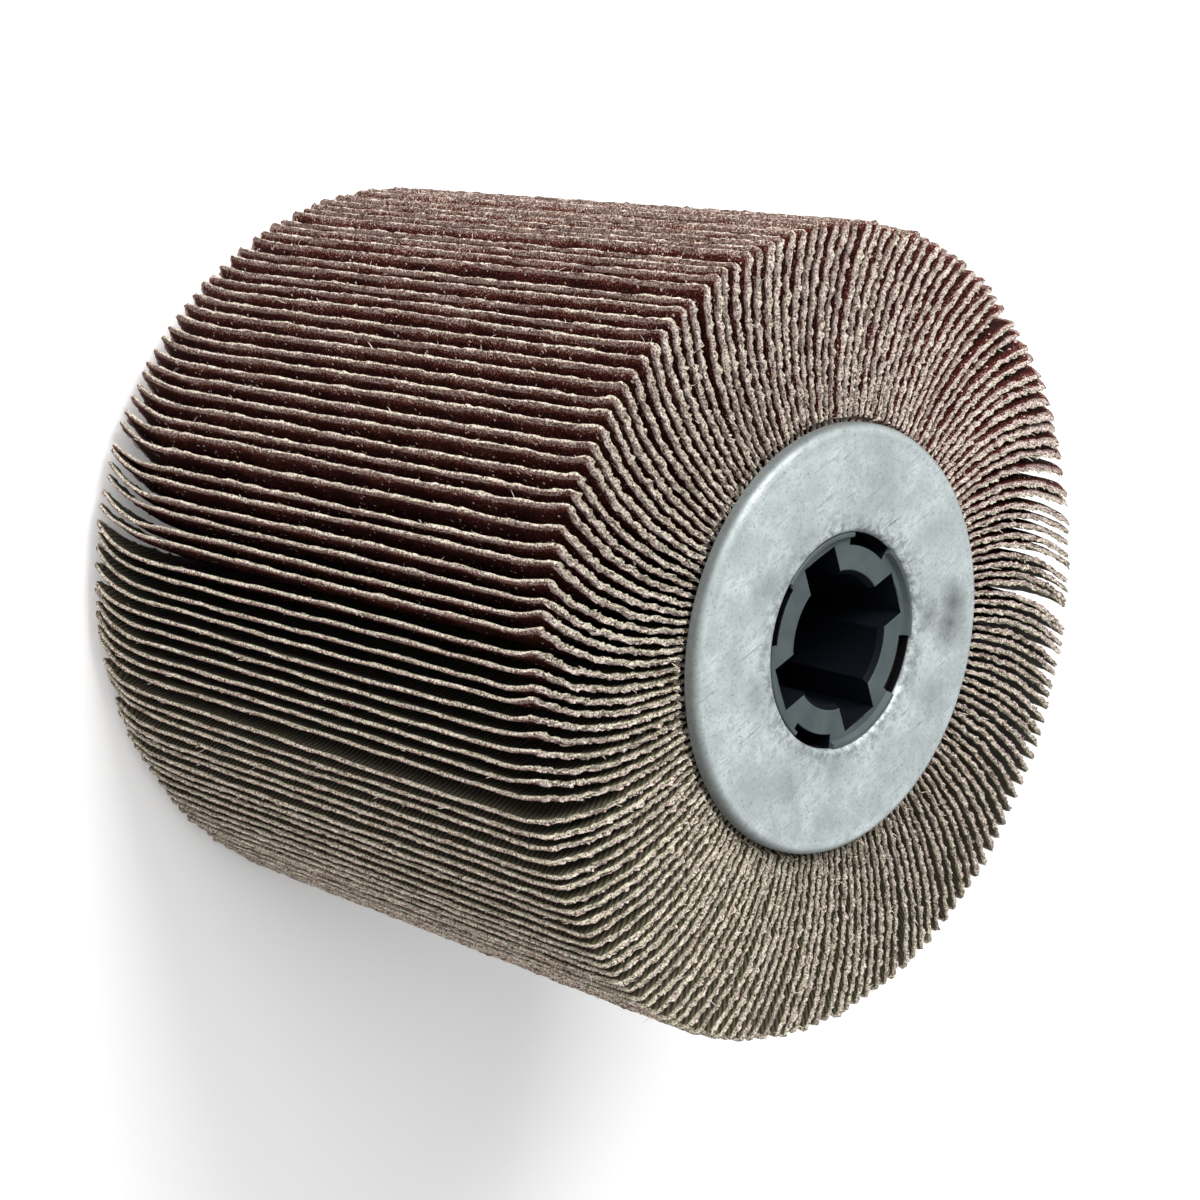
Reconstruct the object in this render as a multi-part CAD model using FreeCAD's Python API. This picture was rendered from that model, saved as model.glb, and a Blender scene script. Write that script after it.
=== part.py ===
import FreeCAD, Part
import math
import os

# Flap wheel in millimetres. The axis is +Z, and the wheel stands on its lower end disc at z = 0.
# Bent flaps of abrasive cloth are cast into a resin hub, which a keyed core and two end discs hold.

# Driving dimensions
WHEEL_RADIUS = 60.0
FLAP_WIDTH = 100.0
FLAP_COUNT = 160
FLAP_THICKNESS = 0.8
RESIN_RADIUS = 27.0
BEND_START_RADIUS = 36.0
BEND_RADIUS = 45.0
BEND_SWING = 0.2
MOST_BENT_AZIMUTH = math.radians(-15.0)
BEND_CHORDS = 3

SHEET = 1.2
DISC_RADIUS = 31.6
RIM_HEIGHT = 2.25
RIM_ROUND = 1.2
DISC_HOLE_RADIUS = 15.9
LIP_ROUND = 0.9
RIM_CHORDS = 3
LIP_CHORDS = 2

BORE_RADIUS = 9.6
BORE_MOUTH_RADIUS = 10.25
KEYWAY_COUNT = 4
KEYWAY_WIDTH = 6.9
KEYWAY_FLOOR = 13.75
CORE_RECESS = 1.06
CORE_RIM_RECESS = 0.25
CORE_RIM_FOOT = 14.9
CORE_RIM_TOP = 15.3
POCKET_INNER_RADIUS = 14.0
POCKET_SPAN = math.radians(34.0)
POCKET_DEPTH = 8.0
POCKET_ROUND = 0.6

# Worked-out dimensions
OVERALL_HEIGHT = FLAP_WIDTH + 2 * RIM_HEIGHT
MID_HEIGHT = OVERALL_HEIGHT / 2
LIP_OUTER_RADIUS = DISC_HOLE_RADIUS + SHEET
BEYOND = 2.0

Z_AXIS = FreeCAD.Vector(0, 0, 1)
CENTRE = FreeCAD.Vector(0, 0, 0)


def at(radius, height):
    """A point of a section, at a radius from the axis."""
    return FreeCAD.Vector(radius, 0, height)


def turned(section):
    """A solid of revolution about the wheel's axis from a closed section."""
    return Part.Face(Part.Wire(section)).revolve(CENTRE, Z_AXIS, 360)


def lines(*points):
    """Straight edges through the points in order."""
    return [Part.makeLine(start, end) for start, end in zip(points, points[1:])]


def quarter_round(start, end, centre, chords):
    """Points of a section on a quarter circle from start to end round centre, both ends included."""
    turns = [math.pi / 2 * step / chords for step in range(chords + 1)]
    return [centre + (start - centre) * math.cos(turn) + (end - centre) * math.sin(turn) for turn in turns]


def other_end(shape):
    """The same feature at the wheel's other end, turned over about the X axis at mid height."""
    copy = shape.copy()
    copy.rotate(FreeCAD.Vector(0, 0, MID_HEIGHT), FreeCAD.Vector(1, 0, 0), 180)
    return copy


def flap_side(bend_radius, offset):
    """One side of a flap that stands on the +X axis, as (x, y) points from root to tip.

    It runs straight out of the resin, then round an arc towards -Y up to the wheel's radius.
    offset is the side's distance from the flap's middle, positive on the outside of the bend.
    """
    arc_radius = bend_radius + offset
    centre_distance = math.hypot(BEND_START_RADIUS, bend_radius)
    centre_angle = math.atan2(bend_radius, BEND_START_RADIUS)
    reach = (WHEEL_RADIUS ** 2 - centre_distance ** 2 - arc_radius ** 2) / (2 * arc_radius)
    full_turn = centre_angle + math.asin(reach / centre_distance)
    points = [(math.sqrt(RESIN_RADIUS ** 2 - offset ** 2), offset)]
    for step in range(BEND_CHORDS + 1):
        turn = full_turn * step / BEND_CHORDS
        x = BEND_START_RADIUS + arc_radius * math.sin(turn)
        y = -bend_radius + arc_radius * math.cos(turn)
        points.append((x, y))
    return points


def flap_outline():
    """The closed outline of all flaps round the resin hub, each with its own bend."""
    outline = []
    for number in range(FLAP_COUNT):
        azimuth = 2 * math.pi * number / FLAP_COUNT
        sweep = math.cos(azimuth - MOST_BENT_AZIMUTH)
        bend_radius = BEND_RADIUS * (1 - BEND_SWING * sweep)
        inside = flap_side(bend_radius, -FLAP_THICKNESS / 2)
        outside = flap_side(bend_radius, FLAP_THICKNESS / 2)
        for x, y in inside + outside[::-1]:
            across = math.atan2(y, x) + azimuth
            radius = math.hypot(x, y)
            outline.append(FreeCAD.Vector(radius * math.cos(across), radius * math.sin(across), RIM_HEIGHT))
    return Part.makePolygon(outline + outline[:1])


def flap_pack():
    """The flaps with the resin hub that their roots are cast in, in one piece."""
    bore = Part.Wire(Part.makeCircle(DISC_HOLE_RADIUS, FreeCAD.Vector(0, 0, RIM_HEIGHT)))
    section = Part.makeFace([flap_outline(), bore], "Part::FaceMakerBullseye")
    return section.extrude(Z_AXIS * FLAP_WIDTH)


def lower_end_disc():
    """A pressed sheet disc with a turned-down rim that seats on the flaps and a lip round the hole.

    The lip seats on the resin hub and stands round the core.
    """
    face_start = DISC_HOLE_RADIUS + LIP_ROUND
    face_end = DISC_RADIUS - RIM_ROUND
    lip_centre = at(face_start, LIP_ROUND)
    rim_centre = at(face_end, RIM_ROUND)
    lip = quarter_round(at(DISC_HOLE_RADIUS, LIP_ROUND), at(face_start, 0), lip_centre, LIP_CHORDS)
    rim = quarter_round(at(face_end, 0), at(DISC_RADIUS, RIM_ROUND), rim_centre, RIM_CHORDS)
    inside = [
        at(DISC_RADIUS, RIM_HEIGHT),
        at(DISC_RADIUS - SHEET, RIM_HEIGHT),
        at(DISC_RADIUS - SHEET, SHEET),
        at(LIP_OUTER_RADIUS, SHEET),
        at(LIP_OUTER_RADIUS, RIM_HEIGHT),
        at(DISC_HOLE_RADIUS, RIM_HEIGHT),
    ]
    return turned(lines(*lip, *rim, *inside, lip[0]))


def core_blank():
    """The core before its bore: a cylinder whose ends carry a raised rim inside the disc's hole."""
    face = CORE_RECESS
    rim = CORE_RIM_RECESS
    top_face = OVERALL_HEIGHT - face
    top_rim = OVERALL_HEIGHT - rim
    section = lines(
        at(0, face),
        at(CORE_RIM_FOOT, face),
        at(CORE_RIM_TOP, rim),
        at(DISC_HOLE_RADIUS, rim),
        at(DISC_HOLE_RADIUS, top_rim),
        at(CORE_RIM_TOP, top_rim),
        at(CORE_RIM_FOOT, top_face),
        at(0, top_face),
        at(0, face),
    )
    return turned(section)


def spindle_passage():
    """The bore with its keyways, as the solid that is cut out of the core."""
    length = OVERALL_HEIGHT + 2 * BEYOND
    passage = [Part.makeCylinder(BORE_RADIUS, length, FreeCAD.Vector(0, 0, -BEYOND))]
    for number in range(KEYWAY_COUNT):
        corner = FreeCAD.Vector(0, -KEYWAY_WIDTH / 2, -BEYOND)
        keyway = Part.makeBox(KEYWAY_FLOOR, KEYWAY_WIDTH, length, corner)
        keyway.rotate(CENTRE, Z_AXIS, 360 * number / KEYWAY_COUNT)
        passage.append(keyway)
    return passage[0].fuse(passage[1:])


def lead_in():
    """The cone that widens the bore's lower mouth for the spindle."""
    depth = BORE_MOUTH_RADIUS - BORE_RADIUS
    mouth = BORE_MOUTH_RADIUS + BEYOND
    return Part.makeCone(mouth, BORE_RADIUS, depth + BEYOND, FreeCAD.Vector(0, 0, CORE_RECESS - BEYOND))


def lower_pockets():
    """The arc pockets behind the lands at the core's lower end, open towards the disc's lip."""
    inner = at(POCKET_INNER_RADIUS, -BEYOND)
    outer = at(DISC_HOLE_RADIUS + BEYOND, -BEYOND)
    top = FreeCAD.Vector(0, 0, CORE_RECESS + POCKET_DEPTH + BEYOND)
    section = Part.Wire(lines(inner, outer, outer + top, inner + top, inner))
    pocket = Part.Face(section).revolve(CENTRE, Z_AXIS, math.degrees(POCKET_SPAN))
    corners = [edge for edge in pocket.Edges if is_inner_corner(edge)]
    pocket = pocket.makeFillet(POCKET_ROUND, corners)
    pockets = []
    for number in range(KEYWAY_COUNT):
        land_middle = 360 * (number + 0.5) / KEYWAY_COUNT
        copy = pocket.copy()
        copy.rotate(CENTRE, Z_AXIS, land_middle - math.degrees(POCKET_SPAN) / 2)
        pockets.append(copy)
    return pockets


def is_inner_corner(edge):
    """Whether an edge is one of the pocket's upright corners on its inner side."""
    ends = [vertex.Point for vertex in edge.Vertexes]
    radii = [math.hypot(point.x, point.y) for point in ends]
    upright = abs(ends[0].z - ends[-1].z) > POCKET_DEPTH
    return upright and max(radii) < DISC_HOLE_RADIUS


def keyed_core():
    """The moulded core with its keyed bore, its lead-ins and the pockets in both ends."""
    lower_cuts = [lead_in()] + lower_pockets()
    upper_cuts = [other_end(cut) for cut in lower_cuts]
    return core_blank().cut([spindle_passage()] + lower_cuts + upper_cuts)


def write(name, shape):
    """Check one node's solid and write it to its own file."""
    solid = shape.removeSplitter().Solids[0]
    if len(shape.Solids) != 1 or not solid.isValid():
        raise ValueError(name + " is not one sound solid")
    solid.exportStep("parts/" + name + ".step")
    print(name, "volume cm3", round(solid.Volume / 1000, 2), "faces", len(solid.Faces))


os.makedirs("parts", exist_ok=True)
disc = lower_end_disc()
write("flap_pack", flap_pack())
write("keyed_core", keyed_core())
write("lower_end_disc", disc)
write("upper_end_disc", other_end(disc))
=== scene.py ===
# Looks of the flap wheel. The wheel stands on its lower end disc, and its axis is +Z.
# Sizes are in millimetres unless a line says otherwise, and meshes are written in metres.
# Clock angles are seen from the upper end: 0 is the photograph's top, and they run clockwise.

import logging
import math
from dataclasses import dataclass, field
from enum import Enum

import bpy
import numpy as np
from mathutils import Matrix, Vector


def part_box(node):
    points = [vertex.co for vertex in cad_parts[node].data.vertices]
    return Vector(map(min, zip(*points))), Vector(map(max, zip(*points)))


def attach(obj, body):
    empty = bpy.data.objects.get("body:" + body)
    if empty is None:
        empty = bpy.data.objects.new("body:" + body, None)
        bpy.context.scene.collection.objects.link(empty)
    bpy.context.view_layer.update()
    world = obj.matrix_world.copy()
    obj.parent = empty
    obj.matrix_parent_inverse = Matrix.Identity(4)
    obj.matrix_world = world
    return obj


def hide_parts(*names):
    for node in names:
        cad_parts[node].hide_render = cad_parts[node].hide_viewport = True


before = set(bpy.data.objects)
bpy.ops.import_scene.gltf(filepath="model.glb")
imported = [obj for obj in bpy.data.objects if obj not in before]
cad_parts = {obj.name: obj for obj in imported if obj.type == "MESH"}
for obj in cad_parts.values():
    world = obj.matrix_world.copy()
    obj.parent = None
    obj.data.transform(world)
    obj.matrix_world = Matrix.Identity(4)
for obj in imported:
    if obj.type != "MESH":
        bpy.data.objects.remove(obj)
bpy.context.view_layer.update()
LOG = logging.getLogger("flap_wheel")
MM = 0.001
TINY = 1e-6
CLOCK_OF_X_AXIS = 59.5

# Sizes that the finishes share with the shapes.
FLAP_TIP = 60.0
FLAP_ENDS = (2.25, 102.25)
DISC_RADIUS = 31.6
HOLE_RADIUS = 15.9
WHEEL_ENDS = (0.0, 104.5)
CORE_ENDS = (1.06, 103.44)
RESIN_RADIUS = 27.0

Array = np.ndarray
Socket = bpy.types.NodeSocket
Material = bpy.types.Material
Object = bpy.types.Object
Colour = tuple[float, float, float]
Span = tuple[float, float]


class Slot(Enum):
    """Names of material slots."""

    CLOTH = "abrasive_cloth"
    PLASTIC = "core_plastic"
    STEEL = "disc_steel"


class Side(Enum):
    """Finish numbers of the flaps' mesh."""

    GRAIN = 0
    CLOTH = 1
    EDGE = 2
    THREAD = 3


class End(Enum):
    """The wheel's two ends, by their row in arrays that hold a value for each."""

    UPPER = 0
    LOWER = 1


def azimuth_of_clock(clock: Array | float) -> Array | float:
    """Turns clock angles in degrees into azimuths in radians, counter-clockwise from +X."""
    return np.radians(CLOCK_OF_X_AXIS - clock)


def clock_past(clock: Array, start: float) -> Array:
    """How far clock angles are past a start, from -180 to 180 degrees."""
    return (clock - start + 180.0) % 360.0 - 180.0


def full_turn(steps: int) -> Array:
    """Even azimuths of one turn, in radians."""
    return 2 * np.pi * np.arange(steps) / steps


def node_box(node: str) -> tuple[Array, Array]:
    """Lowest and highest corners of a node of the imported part."""
    low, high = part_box(node)
    return np.array(low) / MM, np.array(high) / MM


def smooth_step(value: Array) -> Array:
    """Rises from 0 to 1 with level ends: 3v squared less 2v cubed, on v cut to 0 and 1."""
    cut = np.clip(value, 0.0, 1.0)
    return cut * cut * (3.0 - 2.0 * cut)


def smoothed(values: Array, axis: int, passes: int) -> Array:
    """Averages each value with its two neighbours along an axis, several times.

    Args:
        values: the array to smooth. Its first and last values count as neighbours.
        axis: the axis to smooth along.
        passes: how many times one quarter, one half, one quarter is applied.

    Returns:
        The smoothed array, of the same shape.
    """
    for _ in range(passes):
        values = 0.25 * np.roll(values, 1, axis) + 0.5 * values + 0.25 * np.roll(values, -1, axis)
    return values


# Meshes


def new_object(name: str, data: bpy.types.ID) -> Object:
    """Adds an object to the scene.

    Args:
        name: its name.
        data: its mesh, light or camera.

    Returns:
        The new object, at the origin.
    """
    item = bpy.data.objects.new(name, data)
    bpy.context.scene.collection.objects.link(item)
    return item


@dataclass
class Shells:
    """Closed shells of quads that become one mesh.

    Each batch adds points, quads, a finish number for each quad, and one vector for each point
    that a cloth pattern follows: distance from the axis, height, and place across the thickness.
    """

    points: list[Array] = field(default_factory=list)
    quads: list[Array] = field(default_factory=list)
    finishes: list[Array] = field(default_factory=list)
    weaves: list[Array] = field(default_factory=list)
    count: int = 0

    def add(self, points: Array, quads: Array, finishes: Array, weave: Array) -> None:
        """Adds a batch of equal shells.

        Args:
            points: array of shells, points and 3 coordinates.
            quads: array of quads and 4 point numbers, for one shell.
            finishes: finish number of each quad of one shell.
            weave: array of the same shape as points, with the vector that patterns follow.
        """
        shells, size = points.shape[:2]
        first = self.count + size * np.arange(shells)
        self.points.append(points.reshape(-1, 3))
        self.quads.append((quads[None] + first[:, None, None]).reshape(-1, 4))
        self.finishes.append(np.tile(finishes, shells))
        self.weaves.append(weave.reshape(-1, 3))
        self.count += shells * size

    def piece(self, name: str, materials: list[Material], crease: float) -> Object:
        """Writes the shells to a new object at the origin, with its faces pointing outwards.

        Args:
            name: the object's name.
            materials: its materials, in the order of the finish numbers.
            crease: angle in degrees above which an edge is drawn sharp.

        Returns:
            The new object.
        """
        points = np.concatenate(self.points) * MM
        quads = outward(points, np.concatenate(self.quads))
        mesh = bpy.data.meshes.new(name)
        mesh.vertices.add(len(points))
        mesh.vertices.foreach_set("co", points.astype(np.float32).ravel())
        mesh.loops.add(quads.size)
        mesh.loops.foreach_set("vertex_index", quads.astype(np.int32).ravel())
        mesh.polygons.add(len(quads))
        mesh.polygons.foreach_set("loop_start", np.arange(0, quads.size, 4, dtype=np.int32))
        for material in materials:
            mesh.materials.append(material)
        mesh.polygons.foreach_set("material_index", np.concatenate(self.finishes).astype(np.int32))
        mesh.update(calc_edges=True)
        weave = mesh.attributes.new("weave", "FLOAT_VECTOR", "POINT")
        weave.data.foreach_set("vector", np.concatenate(self.weaves).astype(np.float32).ravel())
        mesh.shade_smooth()
        mesh.set_sharp_from_angle(angle=math.radians(crease))
        return new_object(name, mesh)


def outward(points: Array, quads: Array) -> Array:
    """Turns all quads round if the volume that they enclose comes out negative.

    Each quad is two triangles, and each triangle adds the triple product of its corners, which
    is six times the volume between it and the origin.

    Args:
        points: all points.
        quads: the quads' point numbers.

    Returns:
        The quads with their faces outwards.
    """
    a, b, c, d = (points[quads[:, corner]] for corner in range(4))
    volume = np.einsum("ij,ij->", a, np.cross(b, c)) + np.einsum("ij,ij->", a, np.cross(c, d))
    return quads if volume > 0 else quads[:, ::-1]


def wall_quads(rings: int, around: int, closed: bool) -> Array:
    """Quads between neighbouring rings of points, each ring closed on itself.

    Args:
        rings: how many rings there are.
        around: how many points each ring has.
        closed: whether the last ring is joined to the first.

    Returns:
        Array of quads and 4 point numbers.
    """
    joins = rings if closed else rings - 1
    ring, point = np.meshgrid(np.arange(joins), np.arange(around), indexing="ij")
    start, after = ring * around, (ring + 1) % rings * around
    following = (point + 1) % around
    corners = [start + point, start + following, after + following, after + point]
    return np.stack(corners, -1).reshape(-1, 4)


def tube_quads(rings: int, around: int) -> Array:
    """Quads of a closed tube, whose two ends are shut by ladders of quads.

    Args:
        rings: how many rings it has.
        around: how many points each ring has, an even number.

    Returns:
        Array of quads and 4 point numbers, the wall first.
    """
    rung = np.arange(around // 2 - 1)
    ladder = np.stack([rung, rung + 1, around - 2 - rung, around - 1 - rung], -1)
    far_end = ladder + (rings - 1) * around
    return np.concatenate([wall_quads(rings, around, False), ladder[:, ::-1], far_end])


def quarter_arc(centre: Span, radius: float, first: float, steps: int) -> Array:
    """Points (radius, height) of a quarter circle from a first angle, in degrees up from outwards."""
    angle = np.radians(np.linspace(first, first + 90.0, steps + 1))
    return np.stack([centre[0] + radius * np.cos(angle), centre[1] + radius * np.sin(angle)], -1)


def carried_round(
    name: str, azimuth: Array, radius: Array, height: Array, material: Material, crease: float
) -> Object:
    """Makes a piece from closed sections that stand round the axis.

    A section's point at azimuth a is at radius times cos a, radius times sin a, height.

    Args:
        name: the piece's name.
        azimuth: azimuth of each section in radians.
        radius: distance from the axis of each point, as sections by points, or one section.
        height: height of each point, in the same way.
        material: its material.
        crease: angle in degrees above which an edge is drawn sharp.

    Returns:
        The new object.
    """
    x, y = radius * np.cos(azimuth[:, None]), radius * np.sin(azimuth[:, None])
    points = np.stack([x, y, np.broadcast_to(height, x.shape)], -1).reshape(1, -1, 3)
    quads = wall_quads(len(azimuth), radius.shape[1], True)
    shells = Shells()
    shells.add(points, quads, np.zeros(len(quads), int), points)
    return shells.piece(name, [material], crease)


def finished(piece: Object) -> Object:
    """Fixes a piece to the wheel's body and reports it.

    Args:
        piece: the piece.

    Returns:
        The piece.
    """
    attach(piece, "root")
    LOG.info("%s: %d faces", piece.name, len(piece.data.polygons))
    return piece


# Finishes


@dataclass(frozen=True)
class Clouds:
    """Cloudy noise: the clouds' size, its detail, and how strong the detail is."""

    size: float
    detail: float = 2.0
    rough: float = 0.5


@dataclass(frozen=True)
class Marks:
    """Marks cut out of cloudy noise: none below the span, at full strength above it."""

    clouds: Clouds
    span: Span
    strength: float = 1.0


@dataclass
class Sheet:
    """A material's node tree while it is being written."""

    name: str

    def __post_init__(self) -> None:
        """Starts an empty tree with its shader and output."""
        self.material = bpy.data.materials.new(self.name)
        self.material.use_nodes = True
        self.tree = self.material.node_tree
        self.tree.nodes.clear()
        output = self.tree.nodes.new("ShaderNodeOutputMaterial")
        self.shader = self.tree.nodes.new("ShaderNodeBsdfPrincipled")
        self.tree.links.new(self.shader.outputs[0], output.inputs["Surface"])

    def put(self, node: bpy.types.Node, socket: str | int, value: object) -> None:
        """Links a socket to an output, or sets its value, a colour with full alpha.

        Args:
            node: the node.
            socket: the name or number of its input socket.
            value: the output or the value.
        """
        target = node.inputs[socket]
        if isinstance(value, Socket):
            self.tree.links.new(value, target)
        else:
            target.default_value = (*value, 1.0) if target.type == "RGBA" else value

    def add(self, kind: str, inputs: dict, output: str | int = 0, **settings: object) -> Socket:
        """Adds a node and returns one of its outputs.

        Args:
            kind: the node's type without its ShaderNode prefix.
            inputs: values or outputs by the name or number of the input socket.
            output: the name or number of the output wanted.
            **settings: properties of the node.

        Returns:
            The output socket.
        """
        node = self.tree.nodes.new("ShaderNode" + kind)
        for key, value in settings.items():
            setattr(node, key, value)
        for socket, value in inputs.items():
            self.put(node, socket, value)
        return node.outputs[output]

    def place(self) -> Socket:
        """The point on the object, in metres."""
        return self.add("TexCoord", {}, "Object")

    def weave(self) -> list[Socket]:
        """Distance from the axis, height and place across a flap's thickness."""
        vector = self.add("Attribute", {}, "Vector", attribute_name="weave")
        return list(self.add("SeparateXYZ", {0: vector}).node.outputs)

    def noise(self, vector: object, clouds: Clouds) -> Socket:
        """Cloudy noise on a vector in metres."""
        inputs = {"Scale": 1.0 / (clouds.size * MM), "Detail": clouds.detail, "Roughness": clouds.rough}
        return self.add("TexNoise", {"Vector": vector, **inputs})

    def marks(self, vector: object, marks: Marks) -> Socket:
        """How strong marks are on a vector in metres."""
        return self.spread(self.noise(vector, marks.clouds), *marks.span, 0.0, marks.strength)

    def cells(self, vector: object, size: float, output: str = "Distance") -> Socket:
        """Scattered cells on a vector in metres: distance to a cell's middle, or its colour."""
        return self.add("TexVoronoi", {"Vector": vector, "Scale": 1.0 / (size * MM)}, output)

    def first_part(self, colour: object) -> Socket:
        """The red part of a colour."""
        return self.add("SeparateColor", {0: colour})

    def flat(self, vector: object) -> Socket:
        """A vector without its height."""
        return self.add("VectorMath", {0: vector, 1: (1.0, 1.0, 0.0)}, 0, operation="MULTIPLY")

    def turned(self, vector: object, turn: float, squeeze: float = 1.0) -> Socket:
        """A vector with its first part scaled by the squeeze, then turned about the axis in radians."""
        inputs = {"Rotation": (0.0, 0.0, turn), "Scale": (squeeze, 1.0, 1.0)}
        return self.add("Mapping", {"Vector": vector, **inputs})

    def spread(
        self, value: object, low: float, high: float, to_low: float = 0.0, to_high: float = 1.0
    ) -> Socket:
        """Maps a range to another one, and holds it at the ends."""
        return self.add("MapRange", {0: value, 1: low, 2: high, 3: to_low, 4: to_high})

    def between(self, share: object, first: float, second: float) -> Socket:
        """A number between two numbers."""
        return self.spread(share, 0.0, 1.0, first, second)

    def maths(self, operation: str, first: object, second: object) -> Socket:
        """One sum of two values."""
        return self.add("Math", {0: first, 1: second}, 0, operation=operation)

    def mixed(self, share: object, first: object, second: object) -> Socket:
        """A colour between two colours."""
        return self.add("Mix", {0: share, 6: first, 7: second}, 2, data_type="RGBA")

    def bumped(self, height: object, depth: float, strength: float) -> Socket:
        """A normal that a height pattern of the given depth disturbs."""
        return self.add("Bump", {"Height": height, "Distance": depth * MM, "Strength": strength})

    def finish(self, inputs: dict[str, object]) -> Material:
        """Sets the shader's sockets.

        Args:
            inputs: values or outputs by the sockets' names.

        Returns:
            The material.
        """
        for socket, value in inputs.items():
            self.put(self.shader, socket, value)
        return self.material


def towards_edges(sheet: Sheet, tip_band: Span, end_band: Span, away: float, at_ends: float) -> Socket:
    """Rises towards a flap's cut edges, to 1 at the tip and to a given level at the two ends.

    Args:
        sheet: the material's tree.
        tip_band: the depths below the tip where the rise starts and where it is complete.
        end_band: the same two depths from the flap's ends.
        away: the level away from the edges.
        at_ends: the level at the two ends.

    Returns:
        The highest of the three rises.
    """
    radius, height, _ = sheet.weave()
    bottom, top = FLAP_ENDS
    tip = sheet.spread(radius, FLAP_TIP - tip_band[0], FLAP_TIP - tip_band[1], away, 1.0)
    upper = sheet.spread(height, top - end_band[0], top - end_band[1], away, at_ends)
    lower = sheet.spread(height, bottom + end_band[0], bottom + end_band[1], away, at_ends)
    return sheet.maths("MAXIMUM", tip, sheet.maths("MAXIMUM", upper, lower))


def depth_below(sheet: Sheet, place: object, planes: Span) -> Socket:
    """How deep a point is below the nearer of two end planes, in metres.

    Args:
        sheet: the material's tree.
        place: the point on the object.
        planes: heights of the lower and the upper plane.

    Returns:
        The depth, negative outside the planes.
    """
    height = sheet.add("SeparateXYZ", {0: place}, 2)
    below_upper = sheet.maths("SUBTRACT", planes[1] * MM, height)
    above_lower = sheet.maths("SUBTRACT", height, planes[0] * MM)
    return sheet.maths("MINIMUM", below_upper, above_lower)


@dataclass(frozen=True)
class GrainFinish:
    """The abrasive side of a flap: dark grains in resin, with dust and a few bright facets.

    Specks, larger patches and a rise towards the cut edges add up to a level. The rise stands for
    wear and dust at the edges, and its low level deep in the gaps between flaps is painted shade.
    Each span gives the levels between which one colour turns into the next.
    """

    resin: Colour = (0.010, 0.0013, 0.0009)
    grain: Colour = (0.092, 0.0125, 0.0085)
    worn: Colour = (0.25, 0.128, 0.10)
    dust: Colour = (0.85, 0.70, 0.60)
    glint_facet: Colour = (0.80, 0.62, 0.55)
    grain_span: Span = (0.42, 0.60)
    worn_span: Span = (0.56, 0.70)
    dust_span: Span = (0.66, 0.74)
    glint_facet_span: Span = (0.988, 0.992)
    specks: Clouds = Clouds(0.30, 3.0, 0.8)
    patches: Clouds = Clouds(6.0, 3.0, 0.6)
    patch_span: Span = (0.35, 0.7)
    patch_levels: Span = (-0.08, 0.02)
    tip_band: Span = (1.6, 0.4)
    end_band: Span = (1.6, 0.2)
    end_wear_and_shade: float = 0.7
    wear_and_shade_level: float = 0.155
    relief: float = 0.20

    def material(self) -> Material:
        """Builds the material.

        Returns:
            The material.
        """
        sheet = Sheet("abrasive_grain")
        place = sheet.place()
        cells = sheet.cells(place, self.specks.size)
        dice = sheet.first_part(sheet.cells(place, self.specks.size, "Color"))
        patches = sheet.spread(sheet.noise(place, self.patches), *self.patch_span, *self.patch_levels)
        # Wear, dust and painted shade: the level rises towards the cut edges and stays low deep in the gaps
        # between flaps, as painted shade.
        wear_and_gap_shade = towards_edges(sheet, self.tip_band, self.end_band, 0.0, self.end_wear_and_shade)
        pushed = sheet.maths("ADD", patches, sheet.maths("MULTIPLY", wear_and_gap_shade, self.wear_and_shade_level))
        level = sheet.maths("ADD", sheet.noise(place, self.specks), pushed)
        body = self.resin
        looks = [(self.grain_span, self.grain), (self.worn_span, self.worn), (self.dust_span, self.dust)]
        for span, colour in looks:
            body = sheet.mixed(sheet.spread(level, *span), body, colour)
        # Facets: their pale colour is a painted glint, and their lower roughness and higher specular are
        # their own.
        glint_facet = sheet.spread(dice, *self.glint_facet_span)
        return sheet.finish({
            "Base Color": sheet.mixed(glint_facet, body, self.glint_facet),
            "Roughness": sheet.between(glint_facet, 0.8, 0.35),
            "Specular IOR Level": sheet.between(glint_facet, 0.08, 0.6),
            "Normal": sheet.bumped(sheet.maths("SUBTRACT", level, cells), self.relief, 0.8),
        })


@dataclass(frozen=True)
class ClothFinish:
    """The back of a flap: brown twill cloth with a diagonal rib."""

    rib: Colour = (0.120, 0.106, 0.060)
    groove: Colour = (0.028, 0.023, 0.010)
    stain: Colour = (0.060, 0.048, 0.024)
    rib_pitch: float = 0.75
    rib_turn: float = 55.0
    rib_wobble: float = 1.2
    stains: Marks = Marks(Clouds(6.0, 4.0, 0.6), (0.45, 0.7), 0.55)
    relief: float = 0.12

    def material(self) -> Material:
        """Builds the material.

        Returns:
            The material.
        """
        sheet = Sheet("twill_back")
        weave = sheet.add("Attribute", {}, "Vector", attribute_name="weave")
        # A band pattern repeats every 2 pi / 20 of its scaled coordinate.
        scale = 2.0 * math.pi / 20.0 / self.rib_pitch
        rib = sheet.first_part(sheet.add("TexWave", {
            "Vector": sheet.turned(weave, math.radians(self.rib_turn)),
            "Scale": scale,
            "Distortion": self.rib_wobble,
            "Detail": 1.0,
        }))
        colour = sheet.mixed(rib, self.groove, self.rib)
        return sheet.finish({
            "Base Color": sheet.mixed(sheet.marks(sheet.place(), self.stains), colour, self.stain),
            "Roughness": 0.85,
            "Normal": sheet.bumped(rib, self.relief, 0.8),
        })


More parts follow.
